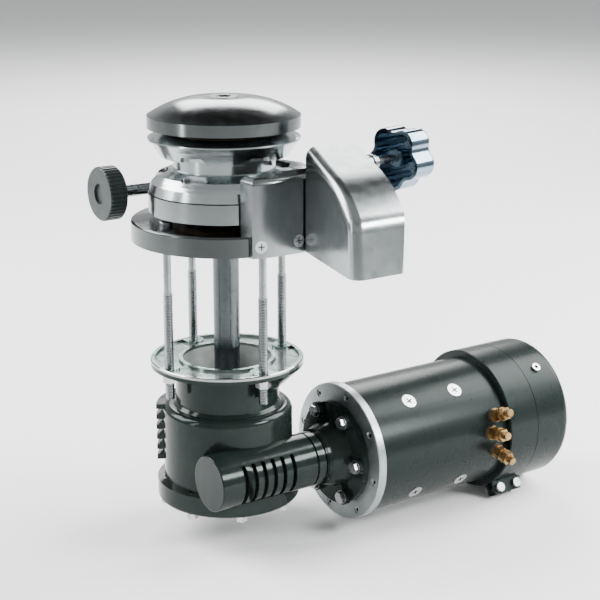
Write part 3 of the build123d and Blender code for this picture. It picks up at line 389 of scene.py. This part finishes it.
# %% Stud threads
def thread(name, finish, x, y, top, bottom):
    """A closed three-sided ridge wound round an upright line."""
    count = int((top - bottom) / thread_pitch * steps_per_turn)
    rows = ((thread_root, 0.4), (thread_crest, 0.0), (thread_root, -0.4))
    points, faces = [], []
    for i in range(count + 1):
        turn, z = 2 * math.pi * i / steps_per_turn, top - (top - bottom) * i / count
        for radius, rise in rows:
            points.append((x + radius * math.cos(turn), y + radius * math.sin(turn), z + rise * thread_pitch))
    for i in range(count):
        for j in range(3):
            k = (j + 1) % 3
            faces.append((3 * i + j, 3 * i + 3 + j, 3 * i + 3 + k, 3 * i + k))
    faces += [(0, 1, 2), (3 * count + 2, 3 * count + 1, 3 * count)]
    mesh = bpy.data.meshes.new(name)
    mesh.from_pydata(points, [], faces)
    piece = bpy.data.objects.new(name, mesh)
    bpy.context.collection.objects.link(piece)
    mesh.materials.append(finish.material)
    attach(piece, "frame")


stud_ring, thread_root, thread_crest, thread_pitch, steps_per_turn = 0.064, 0.0038, 0.0045, 0.0015, 20
upper_thread, lower_thread = (-0.0467, -0.1175), (-0.1338, -0.1493)  # heights of each thread's two ends
rolled = Finish("rolled_thread", (0.14, 0.155, 0.16), 1.0, 0.26)
rolled.uneven((0.08, 0.09, 0.095), 60.0, 0.24, 0.4, 300.0)
rolled.bump(rolled.noise(900.0, 2.0), 0.000004)
for i in range(4):
    stud_x, stud_y = stud_ring * math.cos(i * math.pi / 2), stud_ring * math.sin(i * math.pi / 2)
    thread(f"stud_thread_upper_{i}", rolled, stud_x, stud_y, *upper_thread)
    thread(f"stud_thread_lower_{i}", rolled, stud_x, stud_y, *lower_thread)
print("studs threaded:", i + 1)

# %% [markdown]
# Screws and nuts are zinc plated, a little blotchy. Their slots and narrow recesses get painted shade: the
# colour darkens by how little open air a point sees.

# %% Plated screws and nuts
plated = Finish("zinc_plate", (0.56, 0.57, 0.58), 1.0, 0.3)
plated.uneven((0.42, 0.43, 0.43), 120.0, 0.22, 0.42, 700.0)
# painted shade: slots and recesses darkened towards black
plated.paint_recess_shade(0.003, (0.02, 0.02, 0.02), 0.5, 0.95)
plated.bump(plated.noise(1600.0, 2.0), 0.000003)
dress(["block_screws", "stud_nuts", "stud_washers", "cover_bolts", "adapter_bolts", "ring_screws",
       "pole_screws", "clamp_screws", "bell_screws", "gypsy_screws"], plated)

# %% [markdown]
# Bearings, keys and the worm are ground steel, bright and even. They show through gaps only.

# %% Ground steel of the inner works
ground = Finish("ground_steel", (0.55, 0.56, 0.57), 1.0, 0.22)
ground.uneven((0.42, 0.43, 0.44), 60.0, 0.16, 0.3, 500.0)
ground.bump(ground.noise(1200.0, 2.0), 0.000005)
dress(["shaft_bearings", "worm_bearings", "rear_bearing", "worm_shaft", "armature_shaft",
       "shaft_keys"], ground)

# %% [markdown]
# ## Chrome knob
# The star knob is plated. Chrome is almost a mirror, so only faint smears break its roughness. Its dark
# blue-grey is a painted reflection, tuned for this light too, and is darker than real chrome.

# %% Chrome
# painted reflection: dark blue-grey instead of bright chrome
chrome = Finish("bright_chrome", (0.21, 0.28, 0.34), 1.0, 0.12)
chrome.uneven((0.13, 0.19, 0.25), 30.0, 0.08, 0.16, 90.0)
chrome.bump(chrome.noise(60.0, 2.0), 0.00008)
dress(["star_knob"], chrome)

# %% [markdown]
# ## Paint
# The gearbox has thick gloss enamel over a rough casting, so a broad lumpy height lies under a fine orange
# peel. The flange's top face and the neck's bore were machined after painting. They are one casting with
# the neck, so height and radius pick out the bare parts inside one material.

# %% Gearbox enamel with a machined flange top
def enamelled(name):
    """Thick gloss enamel over a rough casting."""
    gloss = Finish(name, (0.006, 0.010, 0.009), 0.0, 0.15)
    gloss.uneven((0.012, 0.018, 0.016), 25.0, 0.12, 0.2, 110.0)
    gloss.coat(0.16, 0.04, 0.08)
    gloss.bump(gloss.noise(80.0, 3.0), 0.00018)
    gloss.bump(gloss.noise(700.0, 2.0), 0.000012)
    return gloss


dress(["gear_housing", "bottom_cover", "worm_end_cap", "motor_adapter"], enamelled("gearbox_enamel"))

bare_above, bare_within = -0.121, 0.04355  # just under the flange's face, just outside the bore
neck = enamelled("neck_enamel")
split_z = neck.tree.nodes.new("ShaderNodeSeparateXYZ")
neck.join(neck.where, split_z.inputs[0])
top_face = neck.remap(split_z.outputs["Z"], 0.0, 1.0, bare_above - 0.0005, bare_above + 0.0005)
from_shaft = radius_from(neck, "Z", shaft_line)
bore = neck.remap(from_shaft, 1.0, 0.0, bare_within - 0.00025, bare_within + 0.00025)
bare = neck.maths("MAXIMUM", top_face, bore)
machined = neck.blend(neck.remap(neck.noise(90.0), 0.0, 1.0), (0.25, 0.27, 0.26), (0.34, 0.37, 0.36))
neck.join(neck.blend(bare, neck.tint, machined), neck.shader.inputs["Base Color"])
neck.join(top_face, neck.shader.inputs["Metallic"])
dress(["gearbox_neck"], neck)

# %% [markdown]
# The motor has a thinner, flatter coat, sprayed on a smooth drawn tube.

# %% Motor paint
paint = Finish("motor_coat", (0.0065, 0.0105, 0.0095), 0.0, 0.28)
paint.uneven((0.0095, 0.014, 0.013), 12.0, 0.26, 0.31, 60.0)
paint.coat(0.13, 0.02, 0.15)
paint.bump(paint.noise(400.0, 2.0), 0.000003)
dress(["motor_tube", "cover_band", "end_bell"], paint)

# %% [markdown]
# ## Turned aluminium ring
# The ring between gearbox and motor is bare aluminium, faced on a lathe. Its rings follow the motor axis.

# %% Motor ring
facing = Finish("faced_aluminium", (0.40, 0.43, 0.43), 1.0, 0.36)
facing.uneven((0.27, 0.30, 0.30), 30.0, 0.3, 0.42, 160.0)
tool_marks = facing.maths("SINE", facing.maths("MULTIPLY", radius_from(facing, "Y", motor_line), 12000.0))
facing.bump(tool_marks, 0.000004)
dress(["motor_ring"], facing)

# %% [markdown]
# ## Knob, rubber, friction and carbon
# The brake knob is black with a cut knurl. Small inner pieces get simple but uneven finishes, because they
# show when the hood is open or through a gap.

# %% Dark pieces
dark_looks = {
    "brake_knob_black": ((0.022, 0.030, 0.030), (0.038, 0.048, 0.047), 0.35, 500.0, ["brake_knob"]),
    "seal_rubber": ((0.018, 0.018, 0.018), (0.03, 0.03, 0.03), 0.6, 900.0, ["shaft_seals"]),
    "brake_lining": ((0.045, 0.032, 0.024), (0.08, 0.055, 0.04), 0.8, 1400.0, ["brake_lining"]),
    "brush_carbon": ((0.03, 0.03, 0.03), (0.05, 0.05, 0.052), 0.5, 1500.0, ["brushes"]),
    "moulded_insulator": ((0.05, 0.04, 0.035), (0.08, 0.06, 0.05), 0.45, 600.0,
                          ["terminal_insulators", "brush_plate"]),
    "core_iron": ((0.20, 0.21, 0.22), (0.12, 0.11, 0.10), 0.5, 800.0, ["armature", "pole_shoes"]),
}
for name, (colour, shade, rough, grain, pieces) in dark_looks.items():
    look = Finish(name, colour, 0.0, rough)
    look.uneven(shade, 70.0, rough * 0.8, min(1.0, rough * 1.25), grain)
    look.coat(0.25, 0.0, 0.1)
    look.bump(look.noise(grain, 3.0), 0.00003)
    dress(pieces, look)

# %% [markdown]
# ## Yellow metals
# Terminals are plain brass, already a little brown. The clutch cones and wheel are bronze, and the
# commutator is copper.

# %% Brass, bronze and copper
yellow_looks = {
    "terminal_brass": ((0.36, 0.24, 0.11), (0.22, 0.14, 0.065), 0.34, ["terminal_studs", "terminal_nuts"]),
    "cone_bronze": ((0.20, 0.14, 0.085), (0.14, 0.10, 0.06), 0.36,
                    ["clutch_cone_lower", "clutch_cone_upper", "worm_wheel"]),
    "commutator_copper": ((0.62, 0.30, 0.17), (0.42, 0.20, 0.12), 0.3, ["commutator"]),
}
for name, (colour, shade, rough, pieces) in yellow_looks.items():
    look = Finish(name, colour, 1.0, rough)
    look.uneven(shade, 110.0, rough * 0.75, rough * 1.3, 500.0)
    look.bump(look.noise(900.0, 3.0), 0.00002)
    dress(pieces, look)

# %% [markdown]
# ## Close

# %% Close
print("scene ready")
